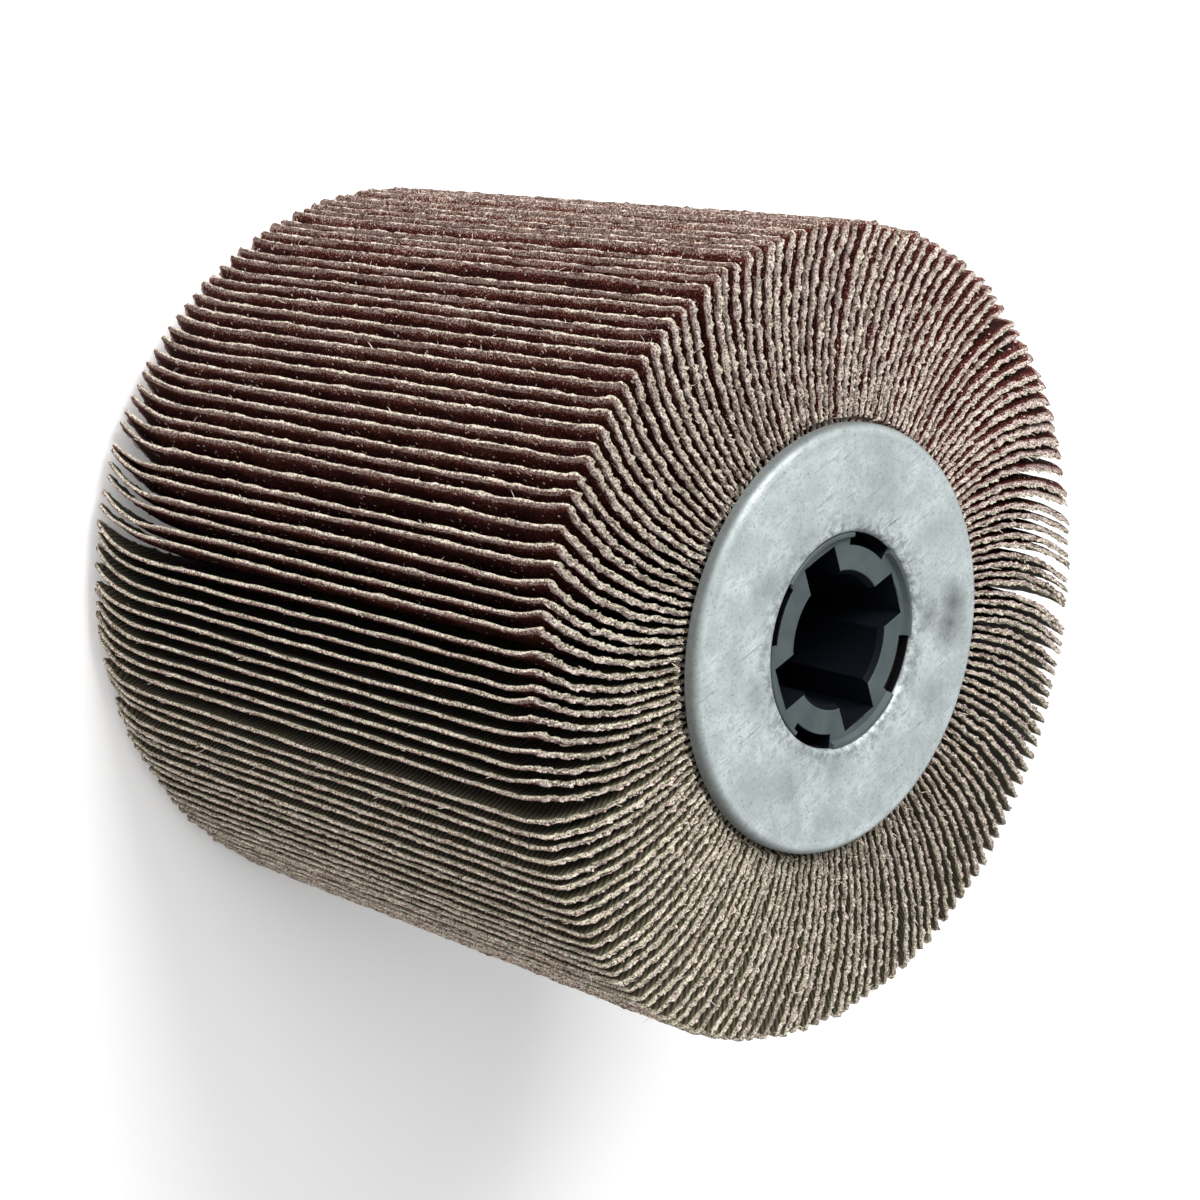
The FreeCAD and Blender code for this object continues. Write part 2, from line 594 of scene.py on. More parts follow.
@dataclass(frozen=True)
class CutEdgeFinish:
    """The frayed cut edge: pale fibre ends over darker resin, browner on the grain's side.

    At the tip the grain's half of the edge is worn grain, and only the cloth's half is pale. The
    hollows between fibre ends are painted near black as painted shade, and the flanks of the edge,
    which face the gaps between flaps, are painted darker than its crest as painted shade.
    """

    grain_fibre: Colour = (0.87, 0.765, 0.715)
    cloth_fibre: Colour = (0.80, 0.76, 0.62)
    grain_side: Colour = (0.36, 0.23, 0.195)
    cloth_side: Colour = (0.40, 0.355, 0.225)
    tip_grain: Colour = (0.18, 0.10, 0.08)
    grain_flank_shade: Colour = (0.17, 0.095, 0.08)
    hollow_shade: Colour = (0.036, 0.018, 0.012)
    fibres: Clouds = Clouds(0.34, 3.0, 0.8)
    grain_half: Span = (-0.25, 0.25)
    worn_depth: Span = (1.2, 0.5)
    worn_half: Span = (0.0, 0.24)
    worn_loss: float = 0.09
    fibre_span: Span = (0.43, 0.60)
    hollow_shade_span: Span = (0.48, 0.38)
    crest_at_tip: Span = (0.9, 0.5)
    crest_at_ends: Span = (0.75, 0.20)
    flank_share: float = 0.15
    relief: float = 0.45

    def material(self) -> Material:
        """Builds the material.

        Returns:
            The material.
        """
        sheet = Sheet("frayed_edge")
        radius, _, across = sheet.weave()
        on_grain = sheet.spread(across, *self.grain_half)
        side = sheet.mixed(on_grain, self.cloth_side, self.grain_side)
        fibre = sheet.mixed(on_grain, self.cloth_fibre, self.grain_fibre)
        flank_shade = sheet.mixed(on_grain, self.hollow_shade, self.grain_flank_shade)
        near_tip = sheet.spread(radius, FLAP_TIP - self.worn_depth[0], FLAP_TIP - self.worn_depth[1])
        worn = sheet.maths("MULTIPLY", near_tip, sheet.spread(across, *self.worn_half))
        side = sheet.mixed(worn, side, self.tip_grain)
        fine = sheet.noise(sheet.place(), self.fibres)
        pale = sheet.maths("SUBTRACT", fine, sheet.maths("MULTIPLY", worn, self.worn_loss))
        tone = sheet.mixed(sheet.spread(pale, *self.fibre_span), side, fibre)
        # Painted shade: the hollows between fibre ends, where the fine noise is low, turn near black.
        tone = sheet.mixed(sheet.spread(fine, *self.hollow_shade_span), tone, self.hollow_shade)
        # Painted shade on the bead's flanks: away from its crest the colour turns to the darker flank
        # colour.
        crest = towards_edges(sheet, self.crest_at_tip, self.crest_at_ends, self.flank_share, 1.0)
        return sheet.finish({
            "Base Color": sheet.mixed(crest, flank_shade, tone),
            "Roughness": 0.95,
            "Specular IOR Level": 0.1,
            "Normal": sheet.bumped(fine, self.relief, 1.0),
        })


@dataclass(frozen=True)
class ThreadFinish:
    """Loose threads and fibre ends at the cut edges."""

    pale: Colour = (0.78, 0.70, 0.62)
    straw: Colour = (0.55, 0.42, 0.28)
    patches: Marks = Marks(Clouds(1.5), (0.5, 0.68))

    def material(self) -> Material:
        """Builds the material.

        Returns:
            The material.
        """
        sheet = Sheet("loose_thread")
        colour = sheet.mixed(sheet.marks(sheet.place(), self.patches), self.pale, self.straw)
        return sheet.finish({"Base Color": colour, "Roughness": 0.9})


@dataclass(frozen=True)
class ResinFinish:
    """The cast resin between the flaps' roots."""

    # Both colours are darkened to near black as painted shade, since the resin shows only in the core's
    # pockets and in the gaps under the discs.
    shaded_amber: Colour = (0.022, 0.013, 0.008)
    dark: Colour = (0.006, 0.004, 0.003)
    clouds: Clouds = Clouds(3.0, 4.0, 0.6)
    relief: float = 0.3

    def material(self) -> Material:
        """Builds the material.

        Returns:
            The material.
        """
        sheet = Sheet("cast_resin")
        clouds = sheet.noise(sheet.place(), self.clouds)
        return sheet.finish({
            "Base Color": sheet.mixed(sheet.spread(clouds, 0.4, 0.65), self.dark, self.shaded_amber),
            "Roughness": sheet.spread(clouds, 0.3, 0.7, 0.35, 0.6),
            "Normal": sheet.bumped(clouds, self.relief, 0.5),
        })


@dataclass(frozen=True)
class DarkPatch:
    """A soft dark patch on the disc's face."""

    clock: float
    distance: float
    radius: float
    strength: float


@dataclass(frozen=True)
class Scratches:
    """Fine parallel scratches: their turn in radians, how far they are drawn out, and their marks."""

    turn: float
    squeeze: float
    marks: Marks


@dataclass(frozen=True)
class SteelFinish:
    """Zinc-grey pressed sheet: mottled, with fine scratches, stains and a grubby hole edge."""

    # Painted shade: the rolled rim, a broad area at the top of the face and the hole's wall beside the core
    # are darkened.
    bright: Colour = (0.60, 0.66, 0.665)
    dull: Colour = (0.41, 0.455, 0.457)
    grime_and_shade: Colour = (0.115, 0.13, 0.125)
    seam_shadow: Colour = (0.004, 0.004, 0.005)
    patches: Clouds = Clouds(7.0, 5.0, 0.62)
    mottle: Clouds = Clouds(1.3, 5.0, 0.7)
    grit: Marks = Marks(Clouds(0.5, 2.0, 0.6), (0.56, 0.72), 0.5)
    specks: Marks = Marks(Clouds(0.45, 2.0, 0.6), (0.68, 0.73), 0.6)
    scratches: tuple[Scratches, ...] = (
        Scratches(0.5, 0.05, Marks(Clouds(0.22), (0.65, 0.72))),
        Scratches(-0.9, 0.07, Marks(Clouds(0.3), (0.64, 0.70))),
    )
    scratch_strength: float = 0.6
    hole_band: float = 4.2
    hole_grime: float = 0.75
    rim_shade_band: Span = (1.0, 0.1)
    rim_shade: float = 0.7
    seam_shadow_depth: Span = (0.70, 0.95)
    seam_shadow_band: Span = (1.3, 1.5)
    relief: float = 0.06
    stains: tuple[DarkPatch, ...] = (
        DarkPatch(77.0, 25.4, 4.2, 0.95),
        DarkPatch(85.0, 24.6, 4.6, 0.95),
        DarkPatch(79.0, 19.6, 3.6, 0.85),
        DarkPatch(265.0, 24.0, 4.0, 0.30),
        DarkPatch(250.0, 19.5, 3.5, 0.40),
        DarkPatch(201.0, 22.9, 4.0, 0.35),
        DarkPatch(291.0, 20.8, 4.0, 0.40),
        DarkPatch(325.0, 19.0, 3.5, 0.45),
        DarkPatch(113.0, 24.0, 4.0, 0.35),
        DarkPatch(176.0, 18.2, 3.0, 0.45),
        DarkPatch(350.0, 25.0, 4.0, 0.25),
        # Painted shade, not a stain: a broad darker area at the top of the face.
        DarkPatch(8.0, 23.0, 9.0, 0.25),
    )

    def stains_and_top_shade(self, sheet: Sheet, flat: object, mottle: object) -> Socket:
        """The strongest dark patch at a point, from stains and from painted shade at the top of the face:
        each falls off from its middle, broken up by the mottle.

        Args:
            sheet: the material's tree.
            flat: the point on the object, without its height.
            mottle: the mottle's noise.

        Returns:
            The share of the stains and of the painted shade.
        """
        total = 0.0
        for stain in self.stains:
            azimuth = azimuth_of_clock(stain.clock)
            middle = Vector((math.cos(azimuth), math.sin(azimuth), 0.0)) * stain.distance * MM
            away = sheet.add("VectorMath", {0: flat, 1: middle}, "Value", operation="DISTANCE")
            patch = sheet.spread(away, 0.0, stain.radius * MM, stain.strength, 0.0)
            total = sheet.maths("MAXIMUM", patch, total)
        return sheet.maths("MULTIPLY", total, sheet.spread(mottle, 0.3, 0.6, 0.7, 1.0))

    def scratched(self, sheet: Sheet, place: object, patches: object) -> Socket:
        """The strongest scratch at a point, where the patches are bright.

        Args:
            sheet: the material's tree.
            place: the point on the object.
            patches: the patches' noise.

        Returns:
            The scratch's share.
        """
        total = 0.0
        for scratches in self.scratches:
            drawn_out = sheet.turned(place, scratches.turn, scratches.squeeze)
            total = sheet.maths("MAXIMUM", sheet.marks(drawn_out, scratches.marks), total)
        total = sheet.maths("MULTIPLY", total, sheet.spread(patches, 0.4, 0.6))
        return sheet.maths("MULTIPLY", total, self.scratch_strength)

    def material(self) -> Material:
        """Builds the material.

        Returns:
            The material.
        """
        sheet = Sheet("zinc_sheet")
        place = sheet.place()
        flat = sheet.flat(place)
        from_axis = sheet.add("VectorMath", {0: flat}, "Value", operation="LENGTH")
        patches = sheet.noise(place, self.patches)
        mottle = sheet.noise(place, self.mottle)
        hole_end, rim_shade_start, rim_shade_end = (radius * MM for radius in (
            HOLE_RADIUS + self.hole_band, DISC_RADIUS - self.rim_shade_band[0], DISC_RADIUS - self.rim_shade_band[1]))
        edge = sheet.spread(from_axis, HOLE_RADIUS * MM, hole_end, self.hole_grime, 0.0)
        edge = sheet.maths("MULTIPLY", edge, sheet.spread(mottle, 0.40, 0.60))
        # Shares towards the dark colour: grit, scratches, stains and specks, and painted shade on the
        # rolled rim and at the top of the face.
        grime_and_shade_shares = [
            sheet.marks(place, self.grit),
            self.scratched(sheet, place, patches),
            sheet.spread(from_axis, rim_shade_start, rim_shade_end, 0.0, self.rim_shade),
            sheet.maths("MAXIMUM", edge, self.stains_and_top_shade(sheet, flat, mottle)),
            sheet.marks(place, self.specks),
        ]
        colour = sheet.mixed(sheet.spread(patches, 0.36, 0.64), self.dull, self.bright)
        colour = sheet.mixed(sheet.spread(mottle, 0.48, 0.64, 0.0, 0.8), colour, self.dull)
        for share in grime_and_shade_shares:
            colour = sheet.mixed(share, colour, self.grime_and_shade)
        # Painted shadow: below the lip's round the hole's wall is painted near black, as the shade of the
        # narrow seam beside the core.
        depth = depth_below(sheet, place, WHEEL_ENDS)
        sunk = sheet.spread(depth, *(level * MM for level in self.seam_shadow_depth))
        seam_shadow_start, seam_shadow_end = ((HOLE_RADIUS + band) * MM for band in self.seam_shadow_band)
        inside = sheet.spread(from_axis, seam_shadow_start, seam_shadow_end, 1.0, 0.0)
        return sheet.finish({
            "Base Color": sheet.mixed(sheet.maths("MULTIPLY", sunk, inside), colour, self.seam_shadow),
            "Metallic": 0.45,
            "Specular IOR Level": 0.25,
            "Roughness": sheet.spread(mottle, 0.3, 0.7, 0.46, 0.62),
            "Normal": sheet.bumped(mottle, self.relief, 0.4),
        })


@dataclass(frozen=True)
class PlasticFinish:
    """Dark grey moulded plastic with a faint flow mottle, near black inside its passages."""

    face: Colour = (0.058, 0.078, 0.080)
    shade: Colour = (0.042, 0.056, 0.060)
    passage_shade: Colour = (0.0035, 0.0045, 0.0070)
    flow: Marks = Marks(Clouds(4.0, 4.0, 0.6), (0.35, 0.65))
    fine: Clouds = Clouds(0.4, 3.0, 0.6)
    passage_shade_depth: Span = (0.02, 0.10)
    relief: float = 0.04

    def material(self) -> Material:
        """Builds the material.

        Returns:
            The material.
        """
        sheet = Sheet("moulded_plastic")
        place = sheet.place()
        fine = sheet.noise(place, self.fine)
        colour = sheet.mixed(sheet.marks(place, self.flow), self.shade, self.face)
        # Painted shade: deeper than a hair below the core's end faces, the bore, keyways, lead-ins and
        # pockets turn near black, with little specular.
        start, end = (level * MM for level in self.passage_shade_depth)
        deep_shade = sheet.spread(depth_below(sheet, place, CORE_ENDS), start, end)
        return sheet.finish({
            "Base Color": sheet.mixed(deep_shade, colour, self.passage_shade),
            "Specular IOR Level": sheet.between(deep_shade, 0.5, 0.04),
            "Roughness": sheet.spread(fine, 0.3, 0.7, 0.5, 0.66),
            "Normal": sheet.bumped(fine, self.relief, 0.4),
        })


# The flaps


@dataclass(frozen=True)
class Swell:
    """A stretch of the wheel where the flaps differ from the rest, by a bell curve."""

    clock: float
    size: float
    spread: float

    def at(self, clock: Array) -> Array:
        """Its size at clock angles: exp of less the square of the distance over the spread."""
        return self.size * np.exp(-(clock_past(clock, self.clock) / self.spread) ** 2)


@dataclass(frozen=True)
class Parting:
    """A gap where the flaps on either side stand apart, by more at one end than at the other.

    The gaps are at the tips, and reach is how many flaps share the push.
    """

    clock: float
    upper_gap: float
    lower_gap: float
    reach: float


@dataclass(frozen=True)
class Bead:
    """The frayed bead on a flap's cut edges.

    Its section's points stand outwards by shares of the depth and sideways by shares of the
    width, which is itself a share of half the thickness. Four random fields disturb it: fine for
    single fibre ends, bundle for yarns, coarse for stretches of the edge, and drift sideways.
    """

    out: tuple[float, ...] = (1.0, 0.85, 0.1, -0.9, -0.9, 0.1, 0.85, 1.12)
    sideways: tuple[float, ...] = (0.42, 0.86, 1.02, 0.8, -0.8, -1.02, -0.86, -0.3)
    outer_from: float = 0.5
    depth: float = 0.34
    fine_depth: float = 0.13
    bundle_depth: float = 0.15
    coarse_depth: float = 0.08
    inner_share: float = 0.3
    width: float = 0.88
    fine_width: float = 0.20
    bundle_width: float = 0.22
    drift: float = 0.06
    tip_width: float = 0.94
    tip_smoothness: float = 0.5
    crowded_width: float = 0.72
    freed_width: float = 0.28
    crowded_length: float = 14.0
    overhang: float = 0.1


@dataclass(frozen=True)
class Threads:
    """Loose threads on the cut edges: how many, and the ranges that their shapes are drawn from."""

    each: int = 40
    length_mean: float = -0.65
    length_spread: float = 0.5
    longest: float = 2.4
    tilt: float = 0.9
    bend: float = 0.8
    start: float = 0.4
    drift: float = 0.28
    onward: float = 0.8
    lift: float = 0.15
    rings: tuple[float, ...] = (0.0, 0.55, 1.0)
    thickness: tuple[float, ...] = (0.055, 0.045, 0.018)
    thickness_range: Span = (0.7, 1.4)
    overhang: float = 0.8


@dataclass
class FlapPack:
    """The flaps, their frayed cut edges and loose threads, in sectors that share the wheel.

    Leans and bends are in degrees, clockwise. Curls, twist, drop and hook are in millimetres.
    """

    count: int = 160
    sectors: int = 10
    thickness: float = 0.70
    root: float = 26.2
    bend_start: float = 33.0
    early_lean: float = -1.5
    early_swells: tuple[Swell, ...] = (Swell(58.0, 8.5, 30.0), Swell(232.0, 1.2, 16.0))
    late_bend: float = 6.7
    late_swells: tuple[Swell, ...] = (Swell(203.0, 2.5, 20.0), Swell(100.0, -1.7, 30.0))
    partings: tuple[Parting, ...] = (
        Parting(247.0, 1.7, 0.5, 4.5),
        Parting(270.0, 0.1, 1.4, 1.5),
        Parting(275.0, 0.1, 1.0, 1.5),
        Parting(283.0, 0.5, 0.4, 3.0),
        Parting(62.8, 1.2, 0.5, 1.0),
        Parting(67.0, 2.0, 0.7, 1.0),
        Parting(71.5, 1.4, 0.6, 1.0),
        Parting(74.7, 1.5, 0.6, 1.0),
        Parting(80.3, 2.2, 0.8, 1.2),
        Parting(87.2, 2.2, 0.8, 1.4),
        Parting(33.0, 0.8, 0.4, 3.0),
        Parting(118.0, 0.9, 0.3, 3.0),
        Parting(322.0, 0.9, 0.6, 3.0),
        Parting(344.0, 0.8, 0.4, 3.0),
    )
    stray: float = 0.30
    wave_range: Span = (0.03, 0.2)
    waves: float = 1.3
    ripples: tuple[tuple[float, float, float], ...] = ((0.08, 0.75, 0.0), (0.07, 1.9, 0.4))
    ripple_start: float = 6.0
    curl_range: Span = (0.75, 1.25)
    upper_curl: float = 0.45
    upper_curl_length: float = 7.0
    upper_curl_swell: Swell = Swell(263.0, 0.9, 24.0)
    upper_twist: Swell = Swell(84.0, 1.2, 17.0)
    upper_drop: Swell = Swell(57.0, 2.5, 17.0)
    upper_drop_length: float = 2.4
    lower_curl: float = 1.0
    lower_curl_length: float = 13.0
    lower_curl_swell: Swell = Swell(268.0, 2.3, 32.0)
    lower_hook: Swell = Swell(244.0, 2.6, 20.0)
    lower_hook_length: float = 5.0
    tip_power: float = 1.6
    fray_swells: tuple[Swell, ...] = (
        Swell(295.0, 0.34, 42.0), Swell(42.0, -0.32, 20.0), Swell(105.0, 0.28, 40.0))
    end_range: Span = (-0.35, 0.2)
    tip_range: Span = (-0.35, 0.0)
    pinch: float = 1.3
    pinch_clear: float = 0.4
    pinch_depth: float = 8.0
    pinch_fade: float = 7.0
    face_inset: float = 0.28
    face_cover: float = 0.09
    face_free: float = 2.0
    face_steps: int = 8
    face_stations: tuple[float, ...] = (
        0, 1.5, 3.5, 6, 9, 13, 25, 45, 65, 84, 92, 95, 97.3, 98.3, 99.1, 100)
    edge_inset: float = 0.34
    edge_corner: float = 0.4
    edge_start: float = 30.2
    end_step: float = 0.42
    tip_step: float = 0.90
    bead: Bead = Bead()
    threads: Threads = Threads()
    crease: float = 50.0
    hub_bore: float = 15.95
    hub_turns: int = 96
    hub_crease: float = 40.0
    seed: int = 20260

    def __post_init__(self) -> None:
        """Takes the pack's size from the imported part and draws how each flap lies."""
        low, high = node_box("flap_pack")
        self.bottom, self.top = low[2], high[2]
        self.tip = (high[0] - low[0]) / 2
        self.random = np.random.default_rng(self.seed)
        self.clock = 360.0 / self.count * np.arange(self.count)
        self.draw_lie()

    def draw_lie(self) -> None:
        """Works out how each flap leans, bends, curls and frays.

        A flap lags behind its root by an early lean, which grows evenly with the distance past
        the bend's start, plus a late bend, which grows with its square. Each is a base angle plus
        its swells. A parting pushes the flaps on either side apart by half its gap, fading with
        their number from the gap. Where the upper ends twist or drop clockwise, the whole flap
        stands back by as much, so that its upper end keeps its place. Where the fray swells, the
        cut edges are wider.
        """
        early = self.early_lean + sum(swell.at(self.clock) for swell in self.early_swells)
        late = self.late_bend + sum(swell.at(self.clock) for swell in self.late_swells)
        self.early, self.late = np.radians(early), np.radians(late)
        gaps = np.zeros((2, self.count))
        tip_clock = self.clock + early + late
        for parting in self.partings:
            flaps_away = clock_past(tip_clock, parting.clock) * self.count / 360.0
            push = 0.5 * np.sign(flaps_away) * np.exp(-np.abs(flaps_away) / parting.reach)
            gaps += push * np.array([[parting.upper_gap], [parting.lower_gap]])
        shared = self.random.uniform(-self.stray, self.stray, self.count)
        own = self.random.uniform(-0.6 * self.stray, 0.6 * self.stray, (2, self.count))
        drop = self.upper_drop.at(tip_clock)
        twist = self.upper_twist.at(tip_clock)
        self.push = gaps + shared + own - drop - twist
        self.wave_size = self.random.uniform(*self.wave_range, self.count)
        self.wave_phase = self.random.uniform(0.0, 2.0 * np.pi, self.count)
        upper = self.upper_curl + self.upper_curl_swell.at(tip_clock)
        lower = self.lower_curl + self.lower_curl_swell.at(tip_clock)
        curl = self.random.uniform(*self.curl_range, (2, self.count)) * np.array([upper, lower])
        self.curls = (
            (End.UPPER, self.upper_curl_length, curl[0] + twist),
            (End.LOWER, self.lower_curl_length, curl[1]),
            (End.LOWER, self.lower_hook_length, self.lower_hook.at(tip_clock)),
            (End.UPPER, self.upper_drop_length, drop),
        )
        self.fray = 1.0 + sum(swell.at(tip_clock) for swell in self.fray_swells)
        self.ripple_phase = self.random.uniform(0.0, 2.0 * np.pi, (2, self.count))
        self.height_shift = self.random.uniform(*self.end_range, (2, self.count))
        self.reach_shift = self.random.uniform(*self.tip_range, self.count)

    def azimuth(self, flap: Array, radius: Array, height: Array) -> Array:
        """Azimuth of a flap's middle surface at a distance from the axis and a height.

        It is the root's azimuth less the lag, which is the early lean times the share of the way
        past the bend's start plus the late bend times that share squared, less the tip's own push,
        waves and corner curls, as lengths over the radius. A curl fades with the square of the
        share of its length that is left to go from its end.

        Args:
            flap: flap numbers.
            radius: distances from the axis.
            height: heights.

        Returns:
            Azimuths in radians.
        """
        reach = np.clip((radius - self.bend_start) / (self.tip - self.bend_start), 0.0, 1.1)
        along = np.clip((height - self.bottom) / (self.top - self.bottom), 0.0, 1.0)
        upper, lower = self.push[End.UPPER.value][flap], self.push[End.LOWER.value][flap]
        wave = self.wave_size[flap] * np.sin(2.0 * np.pi * self.waves * along + self.wave_phase[flap])
        sideways = lower + (upper - lower) * along + wave
        for end, length, size in self.curls:
            depth = self.top - height if end is End.UPPER else height - self.bottom
            sideways = sideways + size[flap] * np.clip(1.0 - depth / length, 0.0, 1.0) ** 2
        free = np.clip((radius - self.root) / self.ripple_start, 0.0, 1.0)
        ripple = sum(
            size * free * np.sin(radius * outwards + height * upwards + phase[flap])
            for (size, outwards, upwards), phase in zip(self.ripples, self.ripple_phase))
        sideways = sideways * reach ** self.tip_power + ripple
        clockwise = self.early[flap] * reach + self.late[flap] * reach ** 2 + sideways / radius
        return azimuth_of_clock(self.clock[flap]) - clockwise

    def place(self, flap: Array, radius: Array, height: Array, across: Array) -> Array:
        """Points of flaps from flap coordinates, all arrays of one shape.

        The middle surface is at (radius, azimuth). A point across the thickness is moved along
        its normal, which is turned from the azimuth's direction by the lean: the arc tangent of
        radius times the change of azimuth with radius. Under the disc's rim the ends are pressed
        in by the pinch, which fades out just past the rim and with the depth from the end.

        Args:
            flap: flap numbers.
            radius: distances from the axis.
            height: heights.
            across: distances from the middle surface, positive on the grain's side.

        Returns:
            Array of the same shape with 3 coordinates more.
        """
        step = 0.25
        azimuth = self.azimuth(flap, radius, height)
        ahead, behind = (self.azimuth(flap, radius + move, height) for move in (step, -step))
        normal = azimuth + np.arctan(radius * ((ahead - behind) / (2 * step)))
        x = radius * np.cos(azimuth) - across * np.sin(normal)
        y = radius * np.sin(azimuth) + across * np.cos(normal)
        past_rim = (radius - DISC_RADIUS - self.pinch_clear) / self.pinch_clear
        pinch = self.pinch * (1.0 - smooth_step(past_rim))
        upper = smooth_step((height - self.top + self.pinch_depth) / self.pinch_fade)
        lower = smooth_step((self.bottom + self.pinch_depth - height) / self.pinch_fade)
        return np.stack([x, y, height + pinch * (lower - upper)], -1)

    def ends(self, flap: Array) -> tuple[Array, Array, Array]:
        """Where flaps end, each cut a little short.

        Args:
            flap: flap numbers.

        Returns:
            Lowest heights, highest heights and outer radii.
        """
        low = self.bottom - np.minimum(self.height_shift[0][flap], 0.0)
        high = self.top + np.minimum(self.height_shift[1][flap], 0.0)
        return low, high, self.tip + self.reach_shift[flap]

    def add_shells(
        self, shells: Shells, flap: Array, radius: Array, height: Array, across: Array,
        quads: Array, finishes: Array
    ) -> None:
        """Adds equal shells that are given in flap coordinates.

        Args:
            shells: the mesh that is being put together.
            flap: flap numbers.
            radius: distances from the axis, of flaps by more axes.
            height: heights, in the same way.
            across: distances from the middle surface, in the same way.
            quads: the quads of one shell.
            finishes: finish number of each quad.
        """
        number = flap.reshape(-1, *[1] * (radius.ndim - 1))
        radius, height, across, number = np.broadcast_arrays(radius, height, across, number)
        points = self.place(number, radius, height, across)
        weave = np.stack([radius, height, across], -1)
        size = quads.max() + 1
        shells.add(points.reshape(-1, size, 3), quads, finishes, weave.reshape(-1, size, 3))

    def add_faces(self, shells: Shells, flap: Array) -> None:
        """Adds the thin slabs between the cut edges, grain on one side and cloth on the other.

        A slab's section runs out along the grain's side and back along the cloth's side, and it
        is carried along the axis through stations that crowd towards the curled corners.

        Args:
            shells: the mesh that is being put together.
            flap: flap numbers.
        """
        low, high, tip = (value[:, None, None] for value in self.ends(flap))
        free = DISC_RADIUS + self.face_free
        under_rim = [self.root, DISC_RADIUS + self.pinch_clear, DISC_RADIUS + 2 * self.pinch_clear]
        out = np.array(under_rim + [free] * self.face_steps)
        share = np.concatenate([np.zeros(len(under_rim)), np.linspace(0.0, 1.0, self.face_steps)])
        section_out, section_share = (np.concatenate([line, line[::-1]]) for line in (out, share))
        section_side = np.repeat([1.0, -1.0], len(out))
        stations = np.array(self.face_stations) / 100
        radius = section_out + (tip - self.face_inset - free) * section_share
        height = low + self.face_inset + (high - low - 2 * self.face_inset) * stations[:, None]
        across = (0.5 * self.thickness - self.face_cover) * section_side
        around = len(section_out)
        quads = tube_quads(len(stations), around)
        finishes = np.full(len(quads), Side.EDGE.value)
        side = np.arange((len(stations) - 1) * around) % around
        finishes[:len(side)] = np.where(side < len(out) - 1, Side.GRAIN.value, Side.CLOTH.value)
        self.add_shells(shells, flap, radius, height, across, quads, finishes)

    def edge_path(self, flap: Array) -> tuple[Array, Array, Array, Array]:
        """The line of the cut edges: out along the lower end, up the tip, back along the upper end.

        The two corners are cut by a quarter turn of a small circle. Positions are found by the
        distance along the line, with straight runs between and the circle's sine and cosine.

        Args:
            flap: flap numbers.

        Returns:
            Radius, height, and the outward direction's two parts, each of flaps by steps.
        """
        corner = self.edge_corner
        low, high, tip = (value[:, None] for value in self.ends(flap))
        inner, outer = self.edge_start, tip - self.edge_inset
        bottom, top = low + self.edge_inset, high - self.edge_inset
        run_end = outer - corner - inner
        run_side = top - bottom - 2 * corner
        turn = 0.5 * np.pi * corner
        total = 2 * run_end + run_side + 2 * turn
        first_stop = run_end + turn
        end_steps = round(float(first_stop.mean()) / self.end_step)
        tip_steps = round(float(run_side.mean()) / self.tip_step)
        way = np.concatenate([
            first_stop * np.linspace(0.0, 1.0, end_steps)[None, :-1],
            first_stop + run_side * np.linspace(0.0, 1.0, tip_steps)[None, :],
            total - first_stop * np.linspace(1.0, 0.0, end_steps)[None, 1:],
        ], 1)
        first = np.clip(way, 0.0, run_end)
        bend = np.clip((way - run_end) / turn, 0.0, 1.0) * 0.5 * np.pi
        side = np.clip(way - run_end - turn, 0.0, run_side)
        second = np.clip((way - run_end - turn - run_side) / turn, 0.0, 1.0) * 0.5 * np.pi
        last = np.clip(way - total + run_end, 0.0, run_end)
        radius = inner + first + corner * np.sin(bend) - corner * (1 - np.cos(second)) - last
        height = bottom + corner * (1 - np.cos(bend)) + side + corner * np.sin(second)
        heading = bend + second
        return radius, height, np.sin(heading), -np.cos(heading)

    def add_edges(self, shells: Shells, flap: Array) -> None:
        """Adds the frayed beads along the cut edges.

        The bead's section is carried along the edge's line. It is narrower near the disc, where
        the flaps crowd, and wider where the fray swells. At the tip, which is worn smooth, its
        width is even and the random fields are weaker.

        Args:
            shells: the mesh that is being put together.
            flap: flap numbers.
        """
        bead = self.bead
        radius, height, out_r, out_z = (value[:, :, None] for value in self.edge_path(flap))
        flaps, steps = radius.shape[:2]
        section_out, section_side = np.array(bead.out), np.array(bead.sideways)
        shape = (flaps, steps, len(section_out))
        at_tip = np.clip(out_r, 0.0, 1.0)
        rough = 1.0 - bead.tip_smoothness * at_tip
        fine = self.random.normal(0.0, 1.0, shape)
        bundle = smoothed(self.random.normal(0.0, 1.0, shape), 1, 1)
        coarse = smoothed(self.random.normal(0.0, 1.0, (flaps, steps, 1)), 1, 3)
        drift = smoothed(self.random.normal(0.0, 1.0, (flaps, steps, 1)), 1, 2)
        facing = np.where(section_out > bead.outer_from, 1.0, bead.inner_share)
        pushed = bead.fine_depth * fine + bead.bundle_depth * bundle + bead.coarse_depth * coarse
        depth = bead.depth * section_out + facing * rough * pushed
        past_disc = np.clip((radius - DISC_RADIUS) / bead.crowded_length, 0.0, 1.0)
        crowd = bead.crowded_width + bead.freed_width * past_disc
        fray = self.fray[flap][:, None, None] * (1.0 - at_tip) + bead.tip_width * at_tip
        uneven = bead.width + rough * (bead.bundle_width * bundle + bead.fine_width * fine)
        across = 0.5 * self.thickness * crowd * fray * uneven * section_side + rough * bead.drift * drift
        outermost = self.tip + bead.overhang
        quads = tube_quads(steps, len(section_out))
        self.add_shells(
            shells, flap, np.minimum(radius + depth * out_r, outermost), height + depth * out_z,
            across, quads, np.full(len(quads), Side.EDGE.value))

